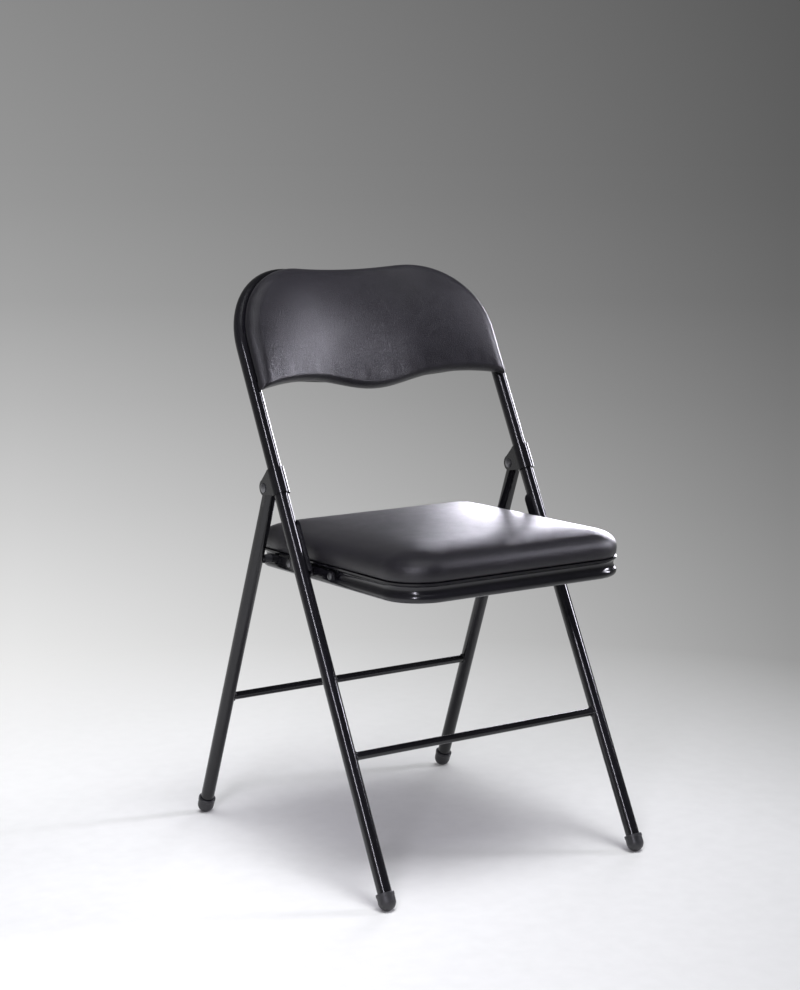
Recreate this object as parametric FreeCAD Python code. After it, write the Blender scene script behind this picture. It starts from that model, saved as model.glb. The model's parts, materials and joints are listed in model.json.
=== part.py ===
import FreeCAD, Part
import os
from math import asin, cos, pi, radians, sin, sqrt

V = FreeCAD.Vector
X_AXIS = V(1, 0, 0)

# Driving dimensions in millimetres and degrees
# The chair faces -Y, +Z is up, +X is the viewer's right, and the origin is on the floor under the middle

tube_od = 19.0
tube_wall = 1.2
front_tilt = 27.8
rear_tilt = 21.2
front_foot_y = -242.71
rear_foot_y = 241.49
front_half_span = 203.0
rear_foot_half_span = 209.0

frame_corner_radius = 115.0
frame_top_s = 888.0
bow_angle = 12.0

crossbar_od = 11.0
crossbar_wall = 1.0
front_crossbar_z = 177.5
rear_crossbar_z = 186.5

foot_radius = 11.7
foot_lip_radius = 12.2
foot_lip_height = 4.0
foot_length = 24.0
foot_sole = 8.0
foot_flat_depth = 0.5

hinge_offset = 21.0
hinge_strap_thickness = 2.5
hinge_strap_half_height = 18.0
hinge_ear_radius = 11.0
hinge_pin_radius = 3.5
leg_top_radius = 10.4
leg_top_flat = 9.1

running_clearance = 0.05
fit_gap = 0.02
rivet_head_radius = 6.5
rivet_head_height = 2.4
rivet_rim_share = 0.35

seat_pivot_axis_z = 406.4
seat_pivot_offset = 16.0
seat_pivot_radius = 3.5
seat_pivot_head_radius = 6.0
seat_pivot_head_inset = 4.9
pivot_spacer_gap = 0.3
slide_axis_z = 398.8
slide_axis_offset = -2.24
slide_pin_radius = 3.0
slide_head_radius = 3.9
slide_head_height = 3.0
slide_head_reach = 0.5
slide_inner_inset = 5.2
slide_bush_gap = 0.4
slide_clearance = 0.3
slide_slot_steps = 12
seat_fold = 115.4
leg_fold = 48.85

seat_half_width = 180.0
seat_half_depth = 188.0
seat_front_corner = 55.0
seat_rear_corner = 28.0
seat_middle_y = -59.64
seat_seam_z = 411.5
seat_slope = 1.22
pan_depth = 25.5
pan_sheet = 1.6
board_thickness = 8.0
board_inset = 10.0
screw_radius = 2.0
screw_head_radius = 4.4
screw_bite = 0.8
seat_screw_x = 120.0
seat_screw_y = 125.0

# Section of the pan's rolled edge: distance outside the seat's outline, height from the seam
pan_edge = {
    "rim_top": (1.0, 0.0),
    "rim_low": (1.0, -2.2),
    "waist": (-3.0, -9.2),
    "waist_low": (-0.6, -15.2),
    "bead": (1.0, -20.0),
    "bottom": (-4.0, -pan_depth),
    "bottom_in": (-4.0, pan_sheet - pan_depth),
    "bead_in": (-0.6, -19.9),
    "waist_low_in": (-2.2, -15.5),
    "waist_in": (-4.6, -9.2),
    "rim_in": (-0.8, -pan_sheet),
    "plate_low": (-14.0, -pan_sheet),
    "plate_top": (-14.0, 0.0),
}
plate_inset = 13.0

# Levels of the seat cushion: how far it is drawn in, height above the seam
cushion_levels = [
    (1.0, 0.0),
    (-1.2, 7.0),
    (-0.8, 16.0),
    (3.0, 24.0),
    (9.0, 29.2),
    (20.0, 33.6),
    (38.0, 37.4),
    (68.0, 40.4),
    (112.0, 42.0),
]
cushion_least_corner = 22.0

bracket_thickness = 2.5
bracket_low_s = 444.0
bracket_high_s = 524.0
bracket_half_width = 8.0
bracket_lobe_radius = 9.5
bracket_root_low = 13.0
bracket_root_high = 22.8
weld_half_width = 5.2
weld_depth = 1.7

strap_inner_x = 181.1
strap_thickness = 2.4
strap_height = 12.6
strap_front_y = -80.74
strap_tail = 10.0
strap_rivet_radius = 2.5
strap_rivet_head_radius = 5.0
strap_rivet_head_height = 1.6
strap_rivet_inset = 5.2
strap_rivet_front = 10.3

pad_half_width = 205.5
pad_corner_radius = 117.5
pad_top_s = 891.0
pad_arch_x = 105.0
pad_arch_s = 720.5
pad_middle_s = 708.0
pad_end_s = 704.5
pad_edge_thickness = 16.0
pad_middle_thickness = 27.0
pad_end_crown = 1.5
pad_gap = 0.2
pad_back_round = 3.0
pad_front_round = 8.0
pad_round_share = 0.55
pad_end_share = 0.9
pad_fullness_power = 6
# Places of the pad's slices from its middle to its end, as shares of its half width
pad_slices = [0.17, 0.34, 0.5, 0.64, 0.76, 0.86, 0.93, 0.975, 1.0]
panel_thickness = 1.5
panel_inset = 1.0
back_board_thickness = 6.0
back_board_inset = 12.0
back_screw_x = 85.0
back_screw_rows = [745.0, 850.0]

# Values worked out from the driving dimensions

tube_r = tube_od / 2
tube_bore = tube_r - tube_wall
pad_back = tube_r + panel_thickness
HALF_ROOT = sqrt(0.5)
cos_front = cos(radians(front_tilt))
sin_front = sin(radians(front_tilt))
cos_rear = cos(radians(rear_tilt))
sin_rear = sin(radians(rear_tilt))
cos_bow = cos(radians(bow_angle))
sin_bow = sin(radians(bow_angle))

UP_FRAME = V(0, sin_front, cos_front)
BACK_FRAME = V(0, cos_front, -sin_front)

foot_spread = rear_foot_y - front_foot_y
hinge_z = (foot_spread - hinge_offset / cos_front) / (sin_front / cos_front + sin_rear / cos_rear)
hinge_y = rear_foot_y - hinge_z * sin_rear / cos_rear
hinge_s = (hinge_y - front_foot_y) * sin_front + hinge_z * cos_front

bow_x = front_half_span - frame_corner_radius * cos_bow
bow_n = frame_corner_radius * sin_bow
bow_radius = bow_x / sin_bow
bow_depth = bow_n + bow_radius * (1 - cos_bow)


def front_point(x, s, n=0.0):
    """Point at height s along the front tube's slope, n behind the tube's axis."""
    return V(x, front_foot_y, 0) + UP_FRAME * s + BACK_FRAME * n


def rear_point(z):
    """Point on the right rear leg's axis at height z."""
    x = rear_foot_half_span + (front_half_span - rear_foot_half_span) * z / hinge_z
    return V(x, rear_foot_y - z * sin_rear / cos_rear, z)


HINGE = V(0, hinge_y, hinge_z)
SEAT_PIVOT = front_point(0, seat_pivot_axis_z / cos_front, seat_pivot_offset)
slide_axis = rear_point(slide_axis_z)
SLIDE = V(0, slide_axis.y + slide_axis_offset * cos_rear, slide_axis.z + slide_axis_offset * sin_rear)
REAR_AXIS = (rear_point(hinge_z) - rear_point(0)).normalize()


def save(name, shape):
    """Writes one node."""
    shape.exportStep("parts/" + name + ".step")


def mirrored(shape):
    """The same piece on the other side of the chair."""
    return shape.mirror(V(0, 0, 0), X_AXIS)


def save_pair(name, right):
    """Writes a left and a right node."""
    save(name + "_left", mirrored(right))
    save(name + "_right", right)


def save_both(name, right):
    """Writes one node that holds the piece of each side."""
    save(name, Part.Compound([mirrored(right), right]))


def along(shape, base, direction):
    """Moves a shape made along +Z to a base point and direction."""
    placed = shape.copy()
    placed.Placement = FreeCAD.Placement(base, FreeCAD.Rotation(V(0, 0, 1), direction))
    return placed


def frame_placed(shape, origin):
    """Moves a shape from (x, behind, along the slope) axes to the front frame's plane."""
    placed = shape.copy()
    placed.Placement = FreeCAD.Placement(origin, FreeCAD.Rotation(X_AXIS, -front_tilt))
    return placed


def seat_placed(shape):
    """Moves a shape from the seat's own axes to the seat."""
    placed = shape.copy()
    origin = V(0, seat_middle_y, seat_seam_z)
    placed.Placement = FreeCAD.Placement(origin, FreeCAD.Rotation(X_AXIS, -seat_slope))
    return placed


def rod(start, end, radius):
    """A solid cylinder between two points."""
    direction = end - start
    return Part.makeCylinder(radius, direction.Length, start, direction)


def x_rod(x_start, x_end, centre, radius):
    """A solid cylinder along X through the side-view point of a pivot."""
    return Part.makeCylinder(radius, x_end - x_start, V(x_start, centre.y, centre.z), X_AXIS)


def arc(start, middle, end):
    return Part.Arc(start, middle, end).toShape()


def line(start, end):
    return Part.LineSegment(start, end).toShape()


def dome_head(x_face, centre, radius, height, outward):
    """A rivet head: a low round dome on a short rim, on a face at x_face."""
    rim_height = height * rivet_rim_share
    cap = height - rim_height
    ball = (radius * radius + cap * cap) / (2 * cap)
    half_turn = asin(radius / ball) / 2
    rim = V(radius, 0, 0)
    shoulder = V(radius, 0, rim_height)
    middle = V(ball * sin(half_turn), 0, height - ball + ball * cos(half_turn))
    top = V(0, 0, height)
    face = Part.Face(Part.Wire([
        line(V(0, 0, 0), rim),
        line(rim, shoulder),
        arc(shoulder, middle, top),
        line(top, V(0, 0, 0)),
    ]))
    dome = face.revolve(V(0, 0, 0), V(0, 0, 1), 360)
    return along(dome, V(x_face, centre.y, centre.z), X_AXIS * outward)


def seat_outline(inset, z, least_corner=0.0):
    """The seat's plan outline, drawn in by an inset."""
    w = seat_half_width - inset
    d = seat_half_depth - inset
    edges = []
    start = V(w, 0, z)
    for sx, sy in [(1, 1), (-1, 1), (-1, -1), (1, -1)]:
        corner = seat_rear_corner if sy > 0 else seat_front_corner
        radius = max(corner - inset, least_corner)
        k = radius * (1 - HALF_ROOT)
        side = V(sx * w, sy * (d - radius), z)
        end = V(sx * (w - radius), sy * d, z)
        middle = V(sx * (w - k), sy * (d - k), z)
        first, last = (side, end) if sx == sy else (end, side)
        edges.append(line(start, first))
        edges.append(arc(first, middle, last))
        start = last
    edges.append(line(start, V(w, 0, z)))
    return Part.Wire(edges)


# Front frame


def frame_path(end_s):
    """The centre line of the one-piece front tube: legs, slanted corners and a bowed top."""
    corner_s = frame_top_s - frame_corner_radius
    ends = {}
    for side in (-1, 1):
        inward = X_AXIS * (-side * cos_bow) + BACK_FRAME * sin_bow
        begin = front_point(side * front_half_span, corner_s)
        centre = begin + inward * frame_corner_radius
        middle = centre + (UP_FRAME - inward) * (frame_corner_radius * HALF_ROOT)
        ends[side] = (begin, middle, centre + UP_FRAME * frame_corner_radius)
    top = front_point(0, frame_top_s, bow_depth)
    left, right = ends[-1], ends[1]
    return Part.Wire([
        line(front_point(-front_half_span, end_s), left[0]),
        arc(left[0], left[1], left[2]),
        arc(left[2], top, right[2]),
        arc(right[2], right[1], right[0]),
        line(right[0], front_point(front_half_span, end_s)),
    ])


def pipe(path, start, radius):
    circle = Part.Wire([Part.Circle(start, UP_FRAME, radius).toShape()])
    return path.makePipeShell([circle], True, False)


def front_tube_solid():
    end_s = foot_sole
    path = frame_path(end_s)
    start = front_point(-front_half_span, end_s)
    return pipe(path, start, tube_r).cut(pipe(path, start, tube_bore))


def crossbar(axis_point, tube_start, tube_end):
    """A thin tube between two legs, its ends cut to sit on them."""
    half = axis_point.x
    outer = Part.makeCylinder(crossbar_od / 2, 2 * half, V(-half, axis_point.y, axis_point.z), X_AXIS)
    bore_r = crossbar_od / 2 - crossbar_wall
    bore = Part.makeCylinder(bore_r, 2 * half, V(-half, axis_point.y, axis_point.z), X_AXIS)
    leg = rod(tube_start, tube_end, tube_r + fit_gap)
    return outer.cut(bore).cut(Part.Compound([leg, mirrored(leg)]))


def foot(floor_point, direction):
    """A moulded foot round the tube's end: a round cap with a lip, flat where it meets the floor."""
    middle = (foot_radius - foot_flat_depth) / direction.z
    corner = foot_radius * HALF_ROOT
    bottom = V(0, 0, middle - foot_radius)
    side = V(foot_radius, 0, middle)
    lip_low = foot_length - foot_lip_height
    rim = foot_lip_radius - foot_radius
    hole = tube_r + fit_gap
    outline = [
        side,
        V(foot_radius, 0, lip_low - rim),
        V(foot_lip_radius, 0, lip_low),
        V(foot_lip_radius, 0, foot_length - rim),
        V(foot_radius, 0, foot_length),
        V(hole, 0, foot_length),
        V(hole, 0, foot_sole),
        V(0, 0, foot_sole),
        bottom,
    ]
    edges = [arc(bottom, V(corner, 0, middle - corner), side)]
    edges += [line(start, end) for start, end in zip(outline, outline[1:])]
    body = Part.Face(Part.Wire(edges)).revolve(V(0, 0, 0), V(0, 0, 1), 360)
    ground = Part.makeBox(tube_od * 4, tube_od * 4, tube_od)
    ground.translate(floor_point - V(tube_od * 2, tube_od * 2, tube_od))
    return along(body, floor_point, direction).cut(ground)


def hinge_strap():
    """A strap bent round the front tube whose two ears hold the rear leg."""
    outer = tube_r + hinge_strap_thickness
    half = hinge_strap_half_height
    wrap = Part.makeCylinder(outer, 2 * half, V(0, 0, -half))
    tip = hinge_offset + hinge_ear_radius
    ear_low = V(-outer, hinge_offset, -hinge_ear_radius)
    ear_high = V(-outer, hinge_offset, hinge_ear_radius)
    ear = Part.Face(Part.Wire([
        line(V(-outer, 0, -half), V(-outer, 0, half)),
        line(V(-outer, 0, half), ear_high),
        arc(ear_high, V(-outer, tip, 0), ear_low),
        line(ear_low, V(-outer, 0, -half)),
    ])).extrude(V(2 * outer, 0, 0))
    gap = Part.makeBox(tube_od, 2 * tip, 2 * half, V(-tube_r, 0, -half))
    hole = Part.makeCylinder(tube_r, 2 * half, V(0, 0, -half))
    pin = Part.makeCylinder(hinge_pin_radius, 2 * outer, V(-outer, hinge_offset, 0), X_AXIS)
    strap = wrap.fuse(ear).cut(gap).cut(hole).cut(pin).removeSplitter()
    return frame_placed(strap, front_point(front_half_span, hinge_s))


def hinge_rivet():
    outer = tube_r + hinge_strap_thickness
    low = front_half_span - outer
    high = front_half_span + outer
    shank = x_rod(low, high, HINGE, hinge_pin_radius)
    inner_head = dome_head(low, HINGE, rivet_head_radius, rivet_head_height, -1)
    outer_head = dome_head(high, HINGE, rivet_head_radius, rivet_head_height, 1)
    return shank.fuse(inner_head).fuse(outer_head).removeSplitter()


def seat_bracket():
    """A plate on the inner side of the front tube, with a lobe behind it for the seat's pivot."""
    x_in = front_half_span - tube_r - bracket_thickness
    w = bracket_half_width
    low = bracket_low_s + w
    high = bracket_high_s - w
    plate = Part.Face(Part.Wire([
        line(V(x_in, w, low), V(x_in, w, high)),
        arc(V(x_in, w, high), V(x_in, 0, high + w), V(x_in, -w, high)),
        line(V(x_in, -w, high), V(x_in, -w, low)),
        arc(V(x_in, -w, low), V(x_in, 0, low - w), V(x_in, w, low)),
    ])).extrude(V(bracket_thickness, 0, 0))
    pivot_s = seat_pivot_axis_z / cos_front
    lobe_r = bracket_lobe_radius
    reach = seat_pivot_offset
    root_low = V(x_in, 0, pivot_s - bracket_root_low)
    root_high = V(x_in, 0, pivot_s + bracket_root_high)
    lobe_low = V(x_in, reach, pivot_s - lobe_r)
    lobe_high = V(x_in, reach, pivot_s + lobe_r)
    lobe = Part.Face(Part.Wire([
        line(root_low, root_high),
        line(root_high, lobe_high),
        arc(lobe_high, V(x_in, reach + lobe_r, pivot_s), lobe_low),
        line(lobe_low, root_low),
    ])).extrude(V(bracket_thickness, 0, 0))
    weld_size = V(bracket_thickness + weld_depth, 2 * weld_half_width, high - low)
    weld = Part.makeBox(weld_size.x, weld_size.y, weld_size.z, V(x_in, -weld_half_width, low))
    tube = Part.makeCylinder(tube_r, frame_top_s, V(front_half_span, 0, 0))
    pivot = Part.makeCylinder(seat_pivot_radius, 3 * tube_od, V(x_in - tube_od, reach, pivot_s), X_AXIS)
    shape = plate.fuse(lobe).fuse(weld).cut(tube).cut(pivot).removeSplitter()
    return frame_placed(shape, front_point(0, 0))


def seat_pivot_rivet():
    plate_out = front_half_span - tube_r
    inner_face = seat_half_width - seat_pivot_head_inset
    shank = x_rod(inner_face, plate_out, SEAT_PIVOT, seat_pivot_radius)
    inner_head = dome_head(inner_face, SEAT_PIVOT, seat_pivot_head_radius, rivet_head_height, -1)
    outer_head = dome_head(plate_out, SEAT_PIVOT, seat_pivot_head_radius, rivet_head_height, 1)
    return shank.fuse(inner_head).fuse(outer_head).removeSplitter()


# Rear legs


def slide_point(t):
    """Place of the slide pin on the rear leg when the chair is folded by a share t."""
    seat_turn = FreeCAD.Rotation(X_AXIS, -seat_fold * t)
    leg_back = FreeCAD.Rotation(X_AXIS, leg_fold * t)
    pin = SEAT_PIVOT + seat_turn.multVec(SLIDE - SEAT_PIVOT)
    return HINGE + leg_back.multVec(pin - HINGE)


def slide_heading(t):
    """Direction in which the slide pin moves along the rear leg."""
    step = 0.01
    return (slide_point(t + step) - slide_point(t - step)).normalize()


def slide_slot():
    """The slot in the leg's inner wall that the slide pin follows while the chair folds."""
    half = slide_pin_radius + slide_clearance
    shares = [i / slide_slot_steps for i in range(slide_slot_steps + 1)]
    edges = []
    for side in (-1, 1):
        curve = Part.BSplineCurve()
        wall = [slide_point(t) + X_AXIS.cross(slide_heading(t)) * (side * half) for t in shares]
        curve.interpolate(wall)
        edges.append(curve.toShape())
    for t, way in ((0, -1), (1, 1)):
        across = X_AXIS.cross(slide_heading(t)) * half
        tip = slide_point(t) + slide_heading(t) * (way * half)
        edges.append(arc(slide_point(t) - across, tip, slide_point(t) + across))
    outline = Part.Wire(Part.__sortEdges__(edges))
    return Part.Face(outline).extrude(V(front_half_span - tube_r / 4, 0, 0))


def rear_leg():
    bottom = rear_point(foot_sole * cos_rear)
    top = rear_point(hinge_z + 2 * leg_top_radius)
    outer = rod(bottom, top, tube_r)
    rounded = x_rod(front_half_span - tube_od, front_half_span + tube_od, HINGE, leg_top_radius)
    keep = rod(bottom, rear_point(hinge_z), tube_od)
    outer = outer.common(keep.fuse(rounded))
    for side in (-1, 1):
        flat = Part.makeBox(tube_od, 4 * tube_od, 4 * tube_od)
        low_x = leg_top_flat if side > 0 else -leg_top_flat - tube_od
        flat.translate(V(front_half_span + low_x, hinge_y - 2 * tube_od, hinge_z - 1.5 * tube_od))
        outer = outer.cut(flat)
    bore = rod(bottom, rear_point(hinge_z - hinge_pin_radius), tube_bore)
    pin_hole = hinge_pin_radius + running_clearance
    pin = x_rod(front_half_span - tube_od, front_half_span + tube_od, HINGE, pin_hole)
    return outer.cut(bore).cut(pin).cut(slide_slot())


# Seat


def pan_profile():
    """Section of the pan's edge: rim, hollow waist and rolled lower bead."""
    p = {name: V(seat_half_width + out, 0, z) for name, (out, z) in pan_edge.items()}
    return Part.Wire([
        line(p["rim_top"], p["rim_low"]),
        arc(p["rim_low"], p["waist"], p["waist_low"]),
        arc(p["waist_low"], p["bead"], p["bottom"]),
        line(p["bottom"], p["bottom_in"]),
        arc(p["bottom_in"], p["bead_in"], p["waist_low_in"]),
        arc(p["waist_low_in"], p["waist_in"], p["rim_in"]),
        line(p["rim_in"], p["plate_low"]),
        line(p["plate_low"], p["plate_top"]),
        line(p["plate_top"], p["rim_top"]),
    ])


def seat_screw_places():
    return [V(sx * seat_screw_x, sy * seat_screw_y, 0) for sx in (-1, 1) for sy in (-1, 1)]


def seat_screw_shank(place):
    length = pan_sheet + screw_bite * board_thickness
    return Part.makeCylinder(screw_radius, length, place - V(0, 0, pan_sheet))


def seat_pan():
    path = seat_outline(0, 0)
    edge = path.makePipeShell([pan_profile()], True, False)
    plate = Part.Face(seat_outline(plate_inset, -pan_sheet)).extrude(V(0, 0, pan_sheet))
    pan = edge.fuse(plate).removeSplitter()
    for place in seat_screw_places():
        pan = pan.cut(seat_screw_shank(place))
    pan = seat_placed(pan)
    pivot = x_rod(0, strap_inner_x, SEAT_PIVOT, seat_pivot_radius + running_clearance)
    slide = x_rod(0, strap_inner_x, SLIDE, slide_pin_radius)
    holes = [pivot, slide] + [strap_rivet_shank(y) for y in strap_rivet_places()]
    for hole in holes:
        pan = pan.cut(hole).cut(mirrored(hole))
    return pan


def seat_board():
    board = Part.Face(seat_outline(board_inset, 0))
    board = board.extrude(V(0, 0, board_thickness))
    for place in seat_screw_places():
        board = board.cut(seat_screw_shank(place))
    return board


def seat_cushion():
    """Foam and cover: drawn in at the seam, full at the side, rounded over and crowned on top."""
    wires = [seat_outline(inset, z, cushion_least_corner) for inset, z in cushion_levels]
    room = Part.Face(seat_outline(board_inset, 0))
    return Part.makeLoft(wires, True, False, False, 2).cut(room.extrude(V(0, 0, board_thickness)))


def seat_screws():
    screws = []
    for place in seat_screw_places():
        base = place - V(0, 0, pan_sheet + screw_radius)
        head = Part.makeCone(screw_head_radius - 1, screw_head_radius, screw_radius, base)
        screws.append(seat_placed(seat_screw_shank(place).fuse(head).removeSplitter()))
    return Part.Compound(screws)


def strap_rivet_places():
    """Two rivets fix each strap: near its front end and between the two pivots."""
    front = strap_front_y + strap_rivet_front
    between = (SEAT_PIVOT.y + SLIDE.y) / 2
    return [front, between]


def strap_height_at(y):
    """Height of the strap's middle line, which runs through the pivot and the slide pin."""
    share = (y - SEAT_PIVOT.y) / (SLIDE.y - SEAT_PIVOT.y)
    return SEAT_PIVOT.z + share * (SLIDE.z - SEAT_PIVOT.z)


def strap_rivet_shank(y):
    centre = V(0, y, strap_height_at(y))
    start = seat_half_width - strap_rivet_inset
    return x_rod(start, strap_inner_x + strap_thickness, centre, strap_rivet_radius)


def strap_rivet(y):
    centre = V(0, y, strap_height_at(y))
    outer_face = strap_inner_x + strap_thickness
    inner_face = seat_half_width - strap_rivet_inset
    outer = dome_head(outer_face, centre, strap_rivet_head_radius, strap_rivet_head_height, 1)
    inner = dome_head(inner_face, centre, strap_rivet_head_radius, strap_rivet_head_height, -1)
    return strap_rivet_shank(y).fuse(outer).fuse(inner).removeSplitter()


def seat_strap():
    """The long flat plate on the pan's side that carries the pivot and the slide pin."""
    front = V(strap_inner_x, strap_front_y, strap_height_at(strap_front_y))
    rear_y = SLIDE.y + strap_tail
    rear = V(strap_inner_x, rear_y, strap_height_at(rear_y))
    run = (rear - front).normalize()
    rise = X_AXIS.cross(run)
    half = strap_height / 2
    begin = front + run * half
    end = rear - run * half
    plate = Part.Face(Part.Wire([
        line(begin + rise * half, end + rise * half),
        arc(end + rise * half, end + run * half, end - rise * half),
        line(end - rise * half, begin - rise * half),
        arc(begin - rise * half, begin - run * half, begin + rise * half),
    ])).extrude(V(strap_thickness, 0, 0))
    plate = plate.cut(x_rod(0, front_half_span, SEAT_PIVOT, seat_pivot_radius + running_clearance))
    plate = plate.cut(x_rod(0, front_half_span, SLIDE, slide_pin_radius))
    for y in strap_rivet_places():
        plate = plate.cut(strap_rivet_shank(y))
    return plate


def ring(x_start, x_end, centre, outer, inner):
    return x_rod(x_start, x_end, centre, outer).cut(x_rod(x_start, x_end, centre, inner))


def pivot_spacer():
    """A sleeve on the pivot rivet between the strap and the bracket."""
    start = strap_inner_x + strap_thickness
    end = front_half_span - tube_r - bracket_thickness - pivot_spacer_gap
    return ring(start, end, SEAT_PIVOT, 2 * seat_pivot_radius, seat_pivot_radius + running_clearance)


def slide_stud():
    """The pin fixed to the strap; its outer head runs inside the rear leg."""
    inner_face = seat_half_width - slide_inner_inset
    head_end = front_half_span + slide_head_reach
    shank = x_rod(inner_face, head_end - slide_head_height, SLIDE, slide_pin_radius)
    outer = x_rod(head_end - slide_head_height, head_end, SLIDE, slide_head_radius)
    inner = dome_head(inner_face, SLIDE, 2 * slide_pin_radius, rivet_head_height, -1)
    return shank.fuse(outer).fuse(inner).removeSplitter()


def slide_bush():
    """A plastic bush on the slide pin between the strap and the leg."""
    start = strap_inner_x + strap_thickness
    end = rear_point(slide_axis_z).x - tube_r - slide_bush_gap
    return ring(start, end, SLIDE, 2 * slide_pin_radius, slide_pin_radius)


# Back rest
# These pieces are drawn in the front frame's plane as (x, behind, along the slope)


def bow_at(x):
    """The tube's bowed centre line over the back: its depth and its turn at a place x."""
    side = -1 if x < 0 else 1
    if abs(x) <= bow_x:
        turn = asin(x / bow_radius)
        return bow_depth - bow_radius * (1 - cos(turn)), turn
    return bow_n - (abs(x) - bow_x) * sin_bow / cos_bow, side * radians(bow_angle)


def bow_point(x, forward, s):
    """A point a distance in front of the bowed line, square to it."""
    depth, turn = bow_at(x)
    return V(x - forward * sin(turn), depth - forward * cos(turn), s)


def pad_top(x, half_width, radius, top):
    """Height of the rounded upper outline at a place x."""
    beyond = abs(x) - (half_width - radius)
    if beyond <= 0:
        return top
    return top - radius + sqrt(max(radius * radius - beyond * beyond, 0.0))


def pad_bottom(x):
    """Height of the wavy lower outline: low in the middle, arched, low again at the corners."""
    if abs(x) <= pad_arch_x:
        swing = (pad_arch_s - pad_middle_s) / 2
        return pad_arch_s - swing - swing * cos(pi * x / pad_arch_x)
    share = (abs(x) - pad_arch_x) / (pad_half_width - pad_arch_x)
    return pad_arch_s - (pad_arch_s - pad_end_s) * share * share


def pad_section(x, fullness):
    """A slice of the pad, square to the bow: flat back, rounded ends and a crowned front."""
    low = pad_bottom(x)
    high = pad_top(x, pad_half_width, pad_corner_radius, pad_top_s)
    edge = pad_edge_thickness * (pad_end_share + (1 - pad_end_share) * fullness)
    crown = edge + pad_end_crown + (pad_middle_thickness - pad_edge_thickness - pad_end_crown) * fullness
    mid = (low + high) / 2
    back_low = bow_point(x, pad_back + pad_gap, low + pad_back_round)
    back_high = bow_point(x, pad_back + pad_gap, high - pad_back_round)
    front_low = bow_point(x, pad_back + edge, low + pad_front_round)
    front_high = bow_point(x, pad_back + edge, high - pad_front_round)
    return Part.Wire([
        line(back_low, back_high),
        arc(back_high, bow_point(x, pad_back + pad_round_share * edge, high), front_high),
        arc(front_high, bow_point(x, pad_back + crown, mid), front_low),
        arc(front_low, bow_point(x, pad_back + pad_round_share * edge, low), back_low),
    ])


def back_cushion(board):
    shares = [-share for share in reversed(pad_slices)] + [0.0] + pad_slices
    sections = []
    for share in shares:
        fullness = sqrt(max(1 - abs(share) ** pad_fullness_power, 0.0))
        sections.append(pad_section(share * pad_half_width, fullness))
    return Part.makeLoft(sections, True, False).cut(board)


def bowed_sheet(near, far, reach):
    """A bowed sheet in front of the tube's line, from one distance to another."""
    def side(forward):
        left = bow_point(-reach, forward, 0)
        left_bend = bow_point(-bow_x, forward, 0)
        right_bend = bow_point(bow_x, forward, 0)
        right = bow_point(reach, forward, 0)
        return left, left_bend, bow_point(0, forward, 0), right_bend, right
    a = side(near)
    b = side(far)
    wire = Part.Wire([
        line(a[0], a[1]),
        arc(a[1], a[2], a[3]),
        line(a[3], a[4]),
        line(a[4], b[4]),
        line(b[4], b[3]),
        arc(b[3], b[2], b[1]),
        line(b[1], b[0]),
        line(b[0], a[0]),
    ])
    return Part.Face(wire).extrude(V(0, 0, frame_top_s + tube_od))


def back_outline(inset):
    """A block with the back's outline in front view, drawn in by an inset."""
    w = pad_half_width - inset
    r = pad_corner_radius - inset
    top = pad_top_s - inset
    low = pad_arch_s + inset
    k = r * (1 - HALF_ROOT)
    front = -4 * tube_od
    wire = Part.Wire([
        line(V(-w, front, low), V(-w, front, top - r)),
        arc(V(-w, front, top - r), V(-w + k, front, top - k), V(-w + r, front, top)),
        line(V(-w + r, front, top), V(w - r, front, top)),
        arc(V(w - r, front, top), V(w - k, front, top - k), V(w, front, top - r)),
        line(V(w, front, top - r), V(w, front, low)),
        line(V(w, front, low), V(-w, front, low)),
    ])
    return Part.Face(wire).extrude(V(0, 8 * tube_od, 0))


def back_screw_places():
    return [(side * back_screw_x, s) for side in (-1, 1) for s in back_screw_rows]


def back_screw_rod(x, s, start, end, radius):
    first = bow_point(x, start, s)
    return rod(first, bow_point(x, end, s), radius)


def back_screw(x, s):
    shank = back_screw_rod(x, s, tube_r, pad_back + screw_bite * back_board_thickness, screw_radius)
    head = back_screw_rod(x, s, tube_r - screw_radius, tube_r, screw_head_radius)
    return shank.fuse(head).removeSplitter()


def with_screw_holes(shape):
    for x, s in back_screw_places():
        reach = pad_back + screw_bite * back_board_thickness
        shape = shape.cut(back_screw_rod(x, s, 0, reach, screw_radius))
    return shape


def back_panel():
    sheet = bowed_sheet(tube_r, pad_back, pad_half_width)
    return with_screw_holes(sheet.common(back_outline(panel_inset)))


def back_board():
    sheet = bowed_sheet(pad_back, pad_back + back_board_thickness, pad_half_width)
    return sheet.common(back_outline(back_board_inset))


# Writing the nodes

os.makedirs("parts", exist_ok=True)

front_floor = front_point(front_half_span, 0)
save("front_frame_tube", front_tube_solid())
front_bar_point = front_point(front_half_span, front_crossbar_z / cos_front)
save("front_crossbar", crossbar(front_bar_point, front_floor, front_point(front_half_span, frame_top_s / 2)))
save_pair("front_foot", foot(front_floor, UP_FRAME))
save_pair("hinge_strap", hinge_strap())
save_both("hinge_rivets", hinge_rivet())
save_pair("seat_bracket", seat_bracket())
save_both("seat_pivot_rivets", seat_pivot_rivet())

save_pair("rear_leg", rear_leg())
save("rear_crossbar", crossbar(rear_point(rear_crossbar_z), rear_point(0), rear_point(hinge_z)))
save_pair("rear_foot", foot(rear_point(0), REAR_AXIS))

save("seat_pan", seat_pan())
save("seat_board", seat_placed(seat_board()))
save("seat_cushion", seat_placed(seat_cushion()))
save("seat_screws", seat_screws())
save_pair("seat_strap", seat_strap())
strap_rivets_right = [strap_rivet(y) for y in strap_rivet_places()]
save("strap_rivets", Part.Compound(strap_rivets_right + [mirrored(rivet) for rivet in strap_rivets_right]))
save_both("pivot_spacers", pivot_spacer())
save_both("slide_studs", slide_stud())
save_both("slide_bushes", slide_bush())

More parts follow.
